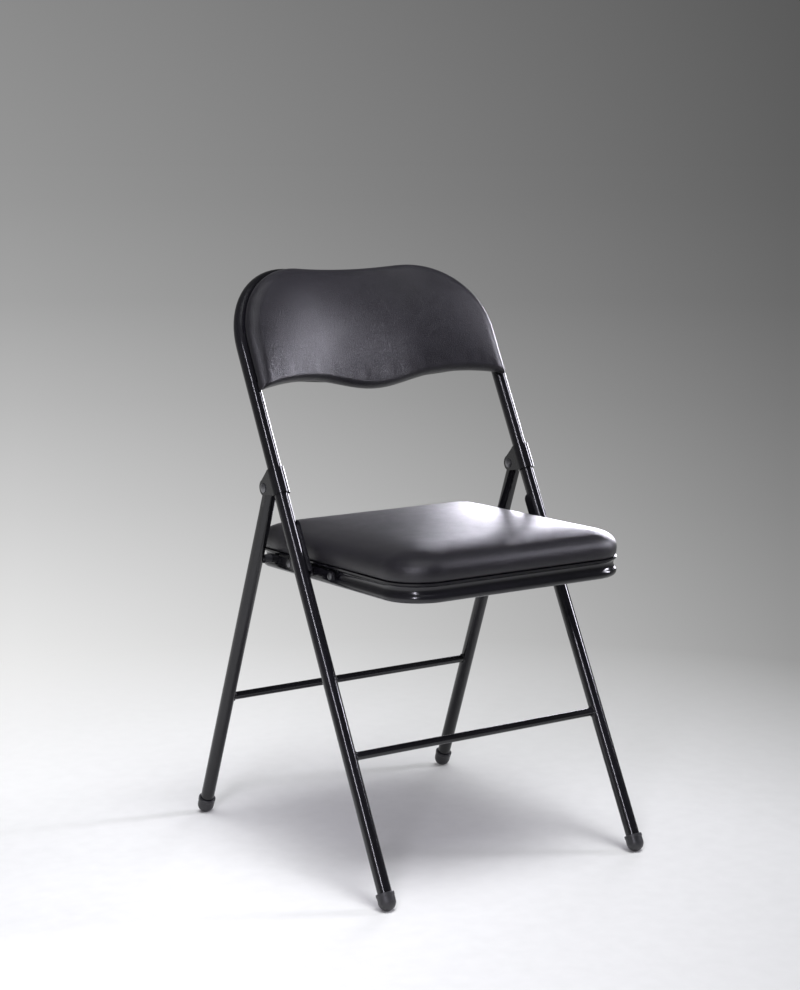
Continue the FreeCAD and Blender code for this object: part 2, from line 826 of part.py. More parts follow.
floor_origin = front_point(0, 0)
board_blank = back_board()
save("back_panel", frame_placed(back_panel(), floor_origin))
save("back_board", frame_placed(with_screw_holes(board_blank), floor_origin))
save("back_cushion", frame_placed(back_cushion(board_blank), floor_origin))
screws = [frame_placed(back_screw(x, s), floor_origin) for x, s in back_screw_places()]
save("back_screws", Part.Compound(screws))
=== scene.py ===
import bmesh
import bpy
import json
from math import asin, cos, exp, hypot, pi, radians, sin, sqrt, tan
from mathutils import Matrix, Vector, noise


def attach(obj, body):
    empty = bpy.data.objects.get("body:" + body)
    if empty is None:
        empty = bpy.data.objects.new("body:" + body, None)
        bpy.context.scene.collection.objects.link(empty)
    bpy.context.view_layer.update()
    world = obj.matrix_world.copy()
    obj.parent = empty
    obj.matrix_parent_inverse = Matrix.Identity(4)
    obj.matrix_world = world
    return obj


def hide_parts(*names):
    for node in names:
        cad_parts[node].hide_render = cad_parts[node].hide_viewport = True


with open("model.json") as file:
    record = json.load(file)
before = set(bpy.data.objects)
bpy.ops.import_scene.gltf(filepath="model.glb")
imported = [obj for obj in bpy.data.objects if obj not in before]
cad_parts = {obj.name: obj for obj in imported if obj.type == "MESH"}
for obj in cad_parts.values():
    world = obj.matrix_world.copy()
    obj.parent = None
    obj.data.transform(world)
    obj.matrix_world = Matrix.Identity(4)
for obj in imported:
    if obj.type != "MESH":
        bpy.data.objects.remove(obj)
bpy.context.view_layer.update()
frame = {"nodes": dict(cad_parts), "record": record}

scene = bpy.context.scene
scene.view_settings.view_transform = "Standard"

# Sizes of the chair, in metres and degrees, as in the construction

TUBE_R = 0.0095
FRONT_TILT = 27.8
REAR_TILT = 21.2
FRONT_FOOT_Y = -0.24271
REAR_FOOT_Y = 0.24149
FRONT_HALF_SPAN = 0.203
REAR_FOOT_HALF_SPAN = 0.209
HINGE_Z = 0.50317
CROSSBAR_R = 0.0055
FRONT_CROSSBAR_Z = 0.1775
REAR_CROSSBAR_Z = 0.1865

SEAT_MIDDLE_Y = -0.05964
SEAT_SEAM_Z = 0.4115
SEAT_SLOPE = 1.22
SEAT_HALF_WIDTH = 0.180
SEAT_HALF_DEPTH = 0.188
SEAT_FRONT_CORNER = 0.055
SEAT_REAR_CORNER = 0.028
SEAT_LEAST_CORNER = 0.022

FRAME_CORNER_R = 0.115
BOW_ANGLE = 12.0
BOW_X = FRONT_HALF_SPAN - FRAME_CORNER_R * cos(radians(BOW_ANGLE))
BOW_N = FRAME_CORNER_R * sin(radians(BOW_ANGLE))
BOW_R = BOW_X / sin(radians(BOW_ANGLE))
BOW_DEPTH = BOW_N + BOW_R * (1 - cos(radians(BOW_ANGLE)))

PAD_HALF_WIDTH = 0.2055
PAD_CORNER = 0.1175
PAD_TOP = 0.891
PAD_ARCH_X = 0.105
PAD_ARCH = 0.7205
PAD_MIDDLE_LOW = 0.708
PAD_END_LOW = 0.7045
PANEL_THICKNESS = 0.0015
PAD_BACK = TUBE_R + PANEL_THICKNESS

UP_FRAME = Vector((0.0, sin(radians(FRONT_TILT)), cos(radians(FRONT_TILT))))
BACK_FRAME = Vector((0.0, cos(radians(FRONT_TILT)), -sin(radians(FRONT_TILT))))
UP_REAR = Vector((0.0, -sin(radians(REAR_TILT)), cos(radians(REAR_TILT))))
BACK_REAR = Vector((0.0, cos(radians(REAR_TILT)), sin(radians(REAR_TILT))))


# Materials


def new_material(name):
    """An empty node material with its shader and an object-space coordinate node."""
    material = bpy.data.materials.new(name)
    material.use_nodes = True
    tree = material.node_tree
    tree.nodes.clear()
    shader = tree.nodes.new("ShaderNodeBsdfPrincipled")
    output = tree.nodes.new("ShaderNodeOutputMaterial")
    tree.links.new(shader.outputs["BSDF"], output.inputs["Surface"])
    coords = tree.nodes.new("ShaderNodeTexCoord")
    return material, tree, shader, coords.outputs["Object"]


def noise_node(tree, coords, scale, detail=3.0, rough=0.5, distortion=0.0):
    """A cloudy pattern."""
    node = tree.nodes.new("ShaderNodeTexNoise")
    node.inputs["Scale"].default_value = scale
    node.inputs["Detail"].default_value = detail
    node.inputs["Roughness"].default_value = rough
    node.inputs["Distortion"].default_value = distortion
    tree.links.new(coords, node.inputs["Vector"])
    return node.outputs["Fac"]


def pebble_node(tree, coords, scale):
    """A pattern of cells: the distance from their edges."""
    node = tree.nodes.new("ShaderNodeTexVoronoi")
    node.feature = "DISTANCE_TO_EDGE"
    node.inputs["Scale"].default_value = scale
    tree.links.new(coords, node.inputs["Vector"])
    return node.outputs["Distance"]


def stretched(tree, coords, scale):
    """The coordinates stretched along the axes."""
    node = tree.nodes.new("ShaderNodeMapping")
    node.inputs["Scale"].default_value = scale
    tree.links.new(coords, node.inputs["Vector"])
    return node.outputs["Vector"]


def ramp(tree, factor, stops):
    """Colours along a factor, from stops of a place and a colour."""
    node = tree.nodes.new("ShaderNodeValToRGB")
    elements = node.color_ramp.elements
    while len(elements) < len(stops):
        elements.new(0.5)
    for element, (place, colour) in zip(elements, stops):
        element.position = place
        element.color = (*colour, 1.0)
    tree.links.new(factor, node.inputs["Fac"])
    return node.outputs["Color"]


def spread(tree, factor, low, high, from_low=0.3, from_high=0.7):
    """A factor spread over a range of values."""
    node = tree.nodes.new("ShaderNodeMapRange")
    node.inputs["From Min"].default_value = from_low
    node.inputs["From Max"].default_value = from_high
    node.inputs["To Min"].default_value = low
    node.inputs["To Max"].default_value = high
    tree.links.new(factor, node.inputs["Value"])
    return node.outputs["Result"]


def join(tree, kind, operation, first, second):
    """A maths node of either kind with two inputs, each a link or a value."""
    node = tree.nodes.new(kind)
    node.operation = operation
    for socket, value in zip(node.inputs, (first, second)):
        if isinstance(value, bpy.types.NodeSocket):
            tree.links.new(value, socket)
        else:
            socket.default_value = value
    return node.outputs


def math_node(tree, operation, first, second):
    """A calculation with numbers."""
    return join(tree, "ShaderNodeMath", operation, first, second)["Value"]


def vector_node(tree, operation, first, second, result="Vector"):
    """A calculation with vectors."""
    return join(tree, "ShaderNodeVectorMath", operation, first, second)[result]


def multiply_colour(tree, colour, factor):
    """A colour made darker or lighter by a factor."""
    node = tree.nodes.new("ShaderNodeMix")
    node.data_type = "RGBA"
    node.blend_type = "MULTIPLY"
    node.inputs["Factor"].default_value = 1.0
    tree.links.new(colour, node.inputs["A"])
    tree.links.new(factor, node.inputs["B"])
    return node.outputs["Result"]


def bump(tree, shader, height, strength, distance):
    """Gives a shader a fine relief."""
    node = tree.nodes.new("ShaderNodeBump")
    node.inputs["Strength"].default_value = strength
    node.inputs["Distance"].default_value = distance
    tree.links.new(height, node.inputs["Height"])
    tree.links.new(node.outputs["Normal"], shader.inputs["Normal"])


def black_enamel():
    """Glossy black stoved paint with a faint orange peel and a few dull patches."""
    material, tree, shader, coords = new_material("black_enamel")
    cloud = noise_node(tree, coords, 9.0, 4.0)
    fine = noise_node(tree, coords, 90.0, 4.0)
    colour = ramp(tree, cloud, [(0.3, (0.0045, 0.0045, 0.0055)), (0.7, (0.0085, 0.008, 0.0105))])
    tree.links.new(colour, shader.inputs["Base Color"])
    dull = math_node(tree, "ADD", spread(tree, cloud, 0.0, 0.04), spread(tree, fine, 0.11, 0.16))
    tree.links.new(dull, shader.inputs["Roughness"])
    peel = noise_node(tree, coords, 420.0, 2.0)
    bump(tree, shader, peel, 0.1, 0.0002)
    return material


def vinyl():
    """Dark charcoal vinyl with a violet cast and a fine pebbled grain, with painted shade in the grain's
    grooves.
    """
    material, tree, shader, coords = new_material("vinyl")
    cloud = noise_node(tree, coords, 7.0, 4.0, 0.55)
    mottle = noise_node(tree, coords, 60.0, 5.0, 0.6)
    pebble = pebble_node(tree, coords, 430.0)
    crease = noise_node(tree, coords, 260.0, 3.0, 0.6, 0.8)
    tone = math_node(tree, "ADD", spread(tree, cloud, 0.0, 0.55), spread(tree, mottle, 0.0, 0.45))
    colour = ramp(tree, tone, [(0.1, (0.0092, 0.0083, 0.0112)), (0.9, (0.0155, 0.0140, 0.0186))])
    # Painted shade: the base colour darkens in the grain's grooves, where the bump sinks
    groove_shade = spread(tree, pebble, 0.45, 1.0, 0.0, 0.09)
    tree.links.new(multiply_colour(tree, colour, groove_shade), shader.inputs["Base Color"])
    rough = math_node(tree, "ADD", spread(tree, mottle, 0.29, 0.35), spread(tree, crease, 0.0, 0.04))
    tree.links.new(rough, shader.inputs["Roughness"])
    shader.inputs["Sheen Weight"].default_value = 0.05
    shader.inputs["Sheen Roughness"].default_value = 0.4
    height = math_node(tree, "ADD", spread(tree, pebble, 0.0, 1.0, 0.0, 0.16), spread(tree, crease, 0.0, 0.7))
    bump(tree, shader, height, 0.6, 0.00018)
    return material


def foot_rubber():
    """Moulded dark grey rubber, dusty in patches."""
    material, tree, shader, coords = new_material("foot_rubber")
    cloud = noise_node(tree, coords, 70.0, 5.0)
    colour = ramp(tree, cloud, [(0.3, (0.016, 0.016, 0.018)), (0.75, (0.036, 0.035, 0.038))])
    tree.links.new(colour, shader.inputs["Base Color"])
    tree.links.new(spread(tree, cloud, 0.34, 0.5), shader.inputs["Roughness"])
    grain = noise_node(tree, coords, 1500.0, 2.0)
    bump(tree, shader, grain, 0.2, 0.0002)
    return material


def rivet_steel():
    """Dark zinc-plated steel with fine turned streaks."""
    material, tree, shader, coords = new_material("rivet_steel")
    streak = noise_node(tree, stretched(tree, coords, (60.0, 900.0, 900.0)), 1.0, 3.0)
    colour = ramp(tree, streak, [(0.3, (0.12, 0.12, 0.13)), (0.7, (0.24, 0.24, 0.255))])
    tree.links.new(colour, shader.inputs["Base Color"])
    tree.links.new(spread(tree, streak, 0.26, 0.42), shader.inputs["Roughness"])
    shader.inputs["Metallic"].default_value = 1.0
    bump(tree, shader, streak, 0.1, 0.0002)
    return material


def black_plastic():
    """Moulded black plastic with a fine spark texture."""
    material, tree, shader, coords = new_material("black_plastic")
    cloud = noise_node(tree, coords, 120.0, 4.0)
    colour = ramp(tree, cloud, [(0.3, (0.012, 0.012, 0.014)), (0.7, (0.024, 0.024, 0.026))])
    tree.links.new(colour, shader.inputs["Base Color"])
    tree.links.new(spread(tree, cloud, 0.36, 0.48), shader.inputs["Roughness"])
    spark = noise_node(tree, coords, 2200.0, 2.0)
    bump(tree, shader, spark, 0.25, 0.0001)
    return material


def board_wood():
    """Plain plywood with a long grain along X."""
    material, tree, shader, coords = new_material("board_wood")
    grain = noise_node(tree, stretched(tree, coords, (4.0, 60.0, 60.0)), 1.0, 6.0, 0.6, 0.6)
    pore = noise_node(tree, stretched(tree, coords, (40.0, 900.0, 900.0)), 1.0, 3.0)
    colour = ramp(tree, grain, [
        (0.25, (0.30, 0.19, 0.10)), (0.5, (0.44, 0.30, 0.17)), (0.8, (0.54, 0.39, 0.24)),
    ])
    tree.links.new(colour, shader.inputs["Base Color"])
    tree.links.new(spread(tree, pore, 0.55, 0.75), shader.inputs["Roughness"])
    bump(tree, shader, pore, 0.25, 0.0003)
    return material


MATERIALS = {
    "black_enamel": black_enamel(),
    "vinyl": vinyl(),
    "foot_rubber": foot_rubber(),
    "rivet_steel": rivet_steel(),
    "black_plastic": black_plastic(),
    "board_wood": board_wood(),
}


def dress(piece, slot):
    """Gives a piece the material of a slot."""
    piece.data.materials.clear()
    piece.data.materials.append(MATERIALS[slot])


slots = {row["node"]: row["material_slot"] for row in frame["record"]["subparts"]}
for node_name, node in frame["nodes"].items():
    dress(node, slots[node_name])


# Pieces


def add_piece(name, mesh, body, slot):
    """Adds a piece that moves with a body and has the material of a slot."""
    piece = bpy.data.objects.new(name, mesh)
    scene.collection.objects.link(piece)
    dress(piece, slot)
    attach(piece, body)


def mesh_from(name, points, faces):
    """A smooth mesh whose faces look outwards."""
    mesh = bpy.data.meshes.new(name)
    mesh.from_pydata([tuple(p) for p in points], [], faces)
    mesh.validate()
    work = bmesh.new()
    work.from_mesh(mesh)
    bmesh.ops.recalc_face_normals(work, faces=work.faces)
    work.to_mesh(mesh)
    work.free()
    mesh.shade_smooth()
    return mesh


def ring_faces(rings, count, closed_rings=False):
    """Quads between rings of the same number of points."""
    faces = []
    spans = rings if closed_rings else rings - 1
    for i in range(spans):
        a = i * count
        b = ((i + 1) % rings) * count
        for k in range(count):
            n = (k + 1) % count
            faces.append((a + k, a + n, b + n, b + k))
    return faces


def grid_faces(index, columns, rows):
    """Quads of a grid whose point numbers are index[column][row]."""
    return [
        (index[i][j], index[i + 1][j], index[i + 1][j + 1], index[i][j + 1])
        for i in range(columns)
        for j in range(rows)
    ]


# Weld beads where the crossbars meet the legs

BEAD_R = 0.0014
BEAD_RINGS = 96
BEAD_SIDES = 10
BEAD_RIPPLES = 22
BEAD_RIPPLE = 0.14
BEAD_WAVES = 3
BEAD_WAVE = 0.1
BEAD_LIFT = 0.0002


def weld_bead(name, centre, up, back, side, body):
    """A rippled bead round the end of a crossbar, on the leg's surface."""
    points = []
    for i in range(BEAD_RINGS):
        turn = 2 * pi * i / BEAD_RINGS
        ripple = 1 + BEAD_RIPPLE * sin(BEAD_RIPPLES * turn) + BEAD_WAVE * sin(BEAD_WAVES * turn + side)
        radial = up * cos(turn) + back * sin(turn)
        inward = sqrt(TUBE_R**2 - (CROSSBAR_R * sin(turn)) ** 2) + BEAD_LIFT
        middle = centre + radial * (CROSSBAR_R + BEAD_LIFT) + Vector((-side * inward, 0, 0))
        for k in range(BEAD_SIDES):
            roll = 2 * pi * k / BEAD_SIDES
            offset = radial * cos(roll) + Vector((1, 0, 0)) * sin(roll)
            points.append(middle + offset * (BEAD_R * ripple))
    mesh = mesh_from(name, points, ring_faces(BEAD_RINGS, BEAD_SIDES, True))
    add_piece(name, mesh, body, "black_enamel")


def front_point(x, z):
    """A point of the front legs' middle plane at a height."""
    return Vector((x, FRONT_FOOT_Y + z * tan(radians(FRONT_TILT)), z))


def rear_point(side, z):
    """The middle of a rear leg at a height."""
    x = REAR_FOOT_HALF_SPAN + (FRONT_HALF_SPAN - REAR_FOOT_HALF_SPAN) * z / HINGE_Z
    return Vector((side * x, REAR_FOOT_Y - z * tan(radians(REAR_TILT)), z))


for side, word in ((-1, "left"), (1, "right")):
    front_end = front_point(side * FRONT_HALF_SPAN, FRONT_CROSSBAR_Z)
    rear_end = rear_point(side, REAR_CROSSBAR_Z)
    weld_bead("front_weld_" + word, front_end, UP_FRAME, BACK_FRAME, side, "front_frame")
    weld_bead("rear_weld_" + word, rear_end, UP_REAR, BACK_REAR, side, "rear_legs")


# Cushions

CLOTH_FRAMES = 20
CLOTH_QUALITY = 6
CLOTH_PRESSURE = 4.0
CLOTH_MASS = 0.25
CLOTH_STRETCH = 25.0
CLOTH_SHEAR = 8.0
CLOTH_BENDING = 1.0
SWELL_SMOOTHING = 80


def apply_modifiers(piece):
    """Puts the result of a piece's modifiers into its mesh."""
    bpy.context.view_layer.update()
    shown = piece.evaluated_get(bpy.context.evaluated_depsgraph_get())
    mesh = bpy.data.meshes.new_from_object(shown)
    piece.modifiers.clear()
    old = piece.data
    piece.data = mesh
    bpy.data.meshes.remove(old)


def swell(piece, held, most):
    """Inflates a padded cover by a cloth simulation, scaled so that it rises by a given height at most."""
    start = [v.co.copy() for v in piece.data.vertices]
    normals = [v.normal.copy() for v in piece.data.vertices]
    group = piece.vertex_groups.new(name="held")
    group.add(sorted(held), 1.0, "REPLACE")
    cloth = piece.modifiers.new("cloth", "CLOTH")
    settings = cloth.settings
    settings.quality = CLOTH_QUALITY
    settings.mass = CLOTH_MASS
    settings.tension_stiffness = CLOTH_STRETCH
    settings.compression_stiffness = CLOTH_STRETCH
    settings.shear_stiffness = CLOTH_SHEAR
    settings.bending_stiffness = CLOTH_BENDING
    settings.use_pressure = True
    settings.uniform_pressure_force = CLOTH_PRESSURE
    settings.vertex_group_mass = "held"
    settings.effector_weights.gravity = 0.0
    cloth.point_cache.frame_start = 1
    cloth.point_cache.frame_end = CLOTH_FRAMES
    for number in range(1, CLOTH_FRAMES + 1):
        scene.frame_set(number)
    apply_modifiers(piece)
    scene.frame_set(1)
    piece.vertex_groups.clear()
    mesh = piece.data
    lifts = [(v.co - before).dot(normal) for v, before, normal in zip(mesh.vertices, start, normals)]
    lifts = smoothed([max(lift, 0.0) for lift in lifts], mesh, held)
    scale = most / max(lifts)
    for vertex, before, normal, lift in zip(mesh.vertices, start, normals, lifts):
        vertex.co = before + normal * (lift * scale)


def smoothed(lifts, mesh, held):
    """The lifts of a mesh's points, evened out between neighbours; held points stay."""
    near = [[] for _ in lifts]
    for edge in mesh.edges:
        a, b = edge.vertices
        near[a].append(b)
        near[b].append(a)
    for _ in range(SWELL_SMOOTHING):
        evened = []
        for i, lift in enumerate(lifts):
            mean = sum(lifts[k] for k in near[i]) / len(near[i])
            evened.append(0.0 if i in held else (lift + mean) / 2)
        lifts = evened
    return lifts


def finish_cover(piece, node, body):
    """Rounds a cover once more and lets it stand for its cushion."""
    piece.data.shade_smooth()
    rounder = piece.modifiers.new("subdivision", "SUBSURF")
    rounder.levels = 1
    rounder.render_levels = 1
    dress(piece, "vinyl")
    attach(piece, body)
    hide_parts(node)


# Seat cushion

# How far the seat's cover is drawn in, and its height above the seam
SEAT_LEVELS = [
    (0.0012, 0.0003),
    (-0.0003, 0.0028),
    (-0.0012, 0.0065),
    (-0.0015, 0.0105),
    (-0.0012, 0.0145),
    (-0.0003, 0.0182),
    (0.0013, 0.0216),
    (0.0035, 0.0246),
    (0.0063, 0.0272),
    (0.0097, 0.0294),
    (0.0137, 0.0312),
    (0.0183, 0.0328),
    (0.0235, 0.0342),
    (0.0293, 0.0356),
    (0.0357, 0.0369),
    (0.0427, 0.0381),
    (0.0500, 0.0391),
    (0.0575, 0.03985),
]
SEAT_CROWN = 0.0038
SEAT_HELD_Z = 0.0040
SEAT_SWELL = 0.0022
CORNER_STEPS = 7
SIDE_STEPS = 48
SEAT_STEPS = 2 * CORNER_STEPS + SIDE_STEPS
# Unevenness of the top: its height and the fineness of its two waves
SEAT_DIMPLE = 0.00035
SEAT_BROAD = 11.0
SEAT_FINE = 26.0
# Puckers at the corners: height, fineness across and upwards, where they begin and end, height above the seam
SEAT_PUCKER = 0.00045
SEAT_PUCKER_ACROSS = 120.0
SEAT_PUCKER_UP = 25.0
SEAT_PUCKER_FROM = 1.55
SEAT_PUCKER_SPAN = 0.3
SEAT_PUCKER_Z = 0.008


def seat_ring(inset, z):
    """Points round the seat's plan outline, from the middle of the rear right corner."""
    w = SEAT_HALF_WIDTH - inset
    d = SEAT_HALF_DEPTH - inset
    corners = []
    for sx, sy, start in [(1, 1, 0), (-1, 1, 90), (-1, -1, 180), (1, -1, 270)]:
        corner = SEAT_REAR_CORNER if sy > 0 else SEAT_FRONT_CORNER
        corners.append((sx, sy, start, max(corner - inset, SEAT_LEAST_CORNER)))

    def on_corner(number, degrees):
        sx, sy, start, r = corners[number % 4]
        turn = radians(start + degrees)
        return Vector((sx * (w - r) + r * cos(turn), sy * (d - r) + r * sin(turn), z))

    points = []
    for number in range(4):
        points += [on_corner(number, 45 + 45 * i / CORNER_STEPS) for i in range(CORNER_STEPS)]
        first = on_corner(number, 90)
        last = on_corner(number + 1, 0)
        points += [first.lerp(last, i / SIDE_STEPS) for i in range(SIDE_STEPS)]
        points += [on_corner(number + 1, 45 * i / CORNER_STEPS) for i in range(CORNER_STEPS)]
    return points


def fill_ring(points, first, lift):
    """Fills a ring of points with an even grid that rises to a crown in the middle."""
    n = SEAT_STEPS
    ring = [first + i for i in range(4 * n)]
    rear = [ring[n - i] for i in range(n + 1)]
    left = [ring[2 * n - i] for i in range(n + 1)]
    front = [ring[2 * n + i] for i in range(n + 1)]
    right = [ring[(3 * n + i) % (4 * n)] for i in range(n + 1)]
    width = max(points[i].x for i in ring)
    depth = max(points[i].y for i in ring)
    index = [[None] * (n + 1) for _ in range(n + 1)]
    for i in range(n + 1):
        index[i][0] = front[i]
        index[i][n] = rear[i]
        index[0][i] = left[i]
        index[n][i] = right[i]
    for i in range(1, n):
        for j in range(1, n):
            u = i / n
            v = j / n
            point = points[front[i]] * (1 - v) + points[rear[i]] * v
            point = point + points[left[j]] * (1 - u) + points[right[j]] * u
            point -= points[front[0]] * ((1 - u) * (1 - v)) + points[front[n]] * (u * (1 - v))
            point -= points[rear[0]] * ((1 - u) * v) + points[rear[n]] * (u * v)
            point.z += lift * (1 - (point.x / width) ** 2) * (1 - (point.y / depth) ** 2)
            index[i][j] = len(points)
            points.append(point)
    return grid_faces(index, n, n)


def seat_dimples(piece):
    """Slight hand-made unevenness of the top, and small puckers low at the corners."""
    mesh = piece.data
    normals = [v.normal.copy() for v in mesh.vertices]
    for vertex, normal in zip(mesh.vertices, normals):
        p = vertex.co
        if p.z < SEAT_HELD_Z:
            continue
        broad = noise.noise(p * SEAT_BROAD) + 0.5 * noise.noise(p * SEAT_FINE)
        outward = abs(p.x) / SEAT_HALF_WIDTH + abs(p.y) / SEAT_HALF_DEPTH
        corner = max(0.0, outward - SEAT_PUCKER_FROM) / SEAT_PUCKER_SPAN
        low = exp(-(((p.z - SEAT_PUCKER_Z) / SEAT_PUCKER_Z) ** 2))
        gather = Vector((p.x * SEAT_PUCKER_ACROSS, p.y * SEAT_PUCKER_ACROSS, p.z * SEAT_PUCKER_UP))
        pucker = noise.noise(gather) * min(corner, 1.0) * low
        vertex.co = p + normal * (broad * SEAT_DIMPLE + pucker * SEAT_PUCKER)


def seat_cushion():
    """The seat's cover: rings up its side, closed above and below."""
    points = []
    for inset, z in SEAT_LEVELS:
        points += seat_ring(inset, z)
    rings = len(SEAT_LEVELS)
    count = 4 * SEAT_STEPS
    faces = ring_faces(rings, count)
    top = (rings - 1) * count
    faces += fill_ring(points, 0, 0.0)
    faces += fill_ring(points, top, SEAT_CROWN)
    mesh = mesh_from("seat_cover", points, faces)
    piece = bpy.data.objects.new("seat_cover", mesh)
    scene.collection.objects.link(piece)
    held = {v.index for v in mesh.vertices if v.co.z < SEAT_HELD_Z}
    swell(piece, held, SEAT_SWELL)
    seat_dimples(piece)
    slope = Matrix.Rotation(radians(-SEAT_SLOPE), 4, "X")
    piece.data.transform(Matrix.Translation((0.0, SEAT_MIDDLE_Y, SEAT_SEAM_Z)) @ slope)
    finish_cover(piece, "seat_cushion", "seat")


seat_cushion()


# Back cushion

PAD_COLUMNS = 110
PAD_ROWS = 52
PAD_EDGE = 0.0055
PAD_ROUND = 0.014
PAD_LOW_ROUND = 0.006
PAD_FULL = 0.0155
PAD_CROWN = 0.0110
PAD_SWELL = 0.0020
PAD_FLATNESS = 5
PAD_EDGE_ROWS = 0.6
# Unevenness of the front: its height, the fineness of its two waves, where it fades at the edge
PAD_DIMPLE = 0.0003
PAD_BROAD = 12.0
PAD_FINE = 30.0
PAD_DIMPLE_EDGE = 0.02
# Puckers above the lower edge: height, fineness across and upwards, distance from the edge, width, fading
PAD_PUCKER = 0.0005
PAD_PUCKER_ACROSS = 85.0
PAD_PUCKER_UP = 14.0
PAD_PUCKER_LAYER = 3.7
PAD_PUCKER_LOW = 0.014
PAD_PUCKER_WIDTH = 0.012
PAD_PUCKER_EDGE = 0.006
# Rings of the turned-in edge: how far in, how far in front of the panel
PAD_TURN_IN = [(0.0004, 0.0026), (0.0014, 0.0011), (0.0032, 0.0004)]


def bow_point(x, forward, s):
    """A point of the back in front of the bowed tube, square to it."""
    side = -1 if x < 0 else 1
    if abs(x) <= BOW_X:
        turn = asin(x / BOW_R)
        depth = BOW_DEPTH - BOW_R * (1 - cos(turn))
    else:
        turn = side * radians(BOW_ANGLE)
        depth = BOW_N - (abs(x) - BOW_X) * tan(radians(BOW_ANGLE))
    n = depth - forward * cos(turn)
    return Vector((x - forward * sin(turn), FRONT_FOOT_Y, 0)) + BACK_FRAME * n + UP_FRAME * s


def pad_top(x):
    """Height of the upper outline with its two round corners."""
    beyond = abs(x) - (PAD_HALF_WIDTH - PAD_CORNER)
    if beyond <= 0:
        return PAD_TOP
    return PAD_TOP - PAD_CORNER + sqrt(max(PAD_CORNER**2 - beyond**2, 0.0))


def pad_bottom(x):
    """Height of the wavy lower outline: low in the middle, arched, low again at the corners."""
    if abs(x) <= PAD_ARCH_X:
        swing = (PAD_ARCH - PAD_MIDDLE_LOW) / 2
        return PAD_ARCH - swing - swing * cos(pi * x / PAD_ARCH_X)
    share = (abs(x) - PAD_ARCH_X) / (PAD_HALF_WIDTH - PAD_ARCH_X)
    return PAD_ARCH - (PAD_ARCH - PAD_END_LOW) * share * share


def rounding(distance, radius):
    """Share of the full thickness at a distance from the edge."""
    left = 1 - min(max(distance / radius, 0.0), 1.0)
    return sqrt(max(1 - left * left, 0.0))


def pad_thickness(x, s):
    """How far the pad's front stands from its back."""
    low = s - pad_bottom(x)
    across = abs(x) - (PAD_HALF_WIDTH - PAD_CORNER)
    above = s - (PAD_TOP - PAD_CORNER)
    if across > 0 and above > 0:
        rim = PAD_CORNER - hypot(across, above)
    else:
        rim = PAD_TOP - s
    side = PAD_HALF_WIDTH - abs(x)
    if across > 0:
        rim = min(rim, side) if above > 0 else side
    half = (pad_top(x) - pad_bottom(x)) / 2
    middle = (pad_top(x) + pad_bottom(x)) / 2
    tall = 1 - ((s - middle) / max(half, 0.001)) ** 2
    wide = 1 - abs(x / PAD_HALF_WIDTH) ** PAD_FLATNESS
    share = rounding(low, PAD_LOW_ROUND) * rounding(rim, PAD_ROUND)
    full = PAD_FULL + PAD_CROWN * tall * wide
    return PAD_EDGE + (full - PAD_EDGE) * share


def pad_place(column, row, inset):
    """Place of a grid point of the pad in front view, drawn in by an inset."""
    across = sin(pi / 2 * (2 * column / PAD_COLUMNS - 1))
    x = across * PAD_HALF_WIDTH
    low = pad_bottom(x)
    high = pad_top(x)
    share = (1 - cos(pi * row / PAD_ROWS)) / 2
    share = PAD_EDGE_ROWS * share + (1 - PAD_EDGE_ROWS) * row / PAD_ROWS
    inner_low = low + min(inset, (high - low) / 2)
    inner_high = high - min(inset, (high - low) / 2)
    return across * (PAD_HALF_WIDTH - inset), inner_low + (inner_high - inner_low) * share


def pad_grid(points, inset, forward):
    """Adds a grid of points over the pad and returns their numbers."""
    index = []
    for i in range(PAD_COLUMNS + 1):
        column = []
        for j in range(PAD_ROWS + 1):
            x, s = pad_place(i, j, inset)
            column.append(len(points))
            points.append(bow_point(x, PAD_BACK + forward(x, s), s))
        index.append(column)
    return index


def border(index):
    """Point numbers round the border of a grid, in order."""
    last = len(index) - 1
    loop = [index[i][0] for i in range(last)]
    loop += index[last][:-1]
    loop += [index[i][-1] for i in range(last, 0, -1)]
    loop += index[0][:0:-1]
    return loop


def pad_dimples(piece, front):
    """Slight unevenness of the front, and small puckers along the lower edge."""
    mesh = piece.data
    normals = [v.normal.copy() for v in mesh.vertices]
    for i, column in enumerate(front):
        for j, number in enumerate(column):
            x, s = pad_place(i, j, 0.0)
            vertex = mesh.vertices[number]
            p = vertex.co
            low = s - pad_bottom(x)
            edge = min(low, pad_top(x) - s, PAD_HALF_WIDTH - abs(x))
            broad = noise.noise(p * PAD_BROAD) + 0.5 * noise.noise(p * PAD_FINE)
            broad = broad * min(edge / PAD_DIMPLE_EDGE, 1.0)
            gather = noise.noise(Vector((x * PAD_PUCKER_ACROSS, s * PAD_PUCKER_UP, PAD_PUCKER_LAYER)))
            band = exp(-(((low - PAD_PUCKER_LOW) / PAD_PUCKER_WIDTH) ** 2))
            pucker = gather * band * min(edge / PAD_PUCKER_EDGE, 1.0)
            vertex.co = p + normals[number] * (broad * PAD_DIMPLE + pucker * PAD_PUCKER)


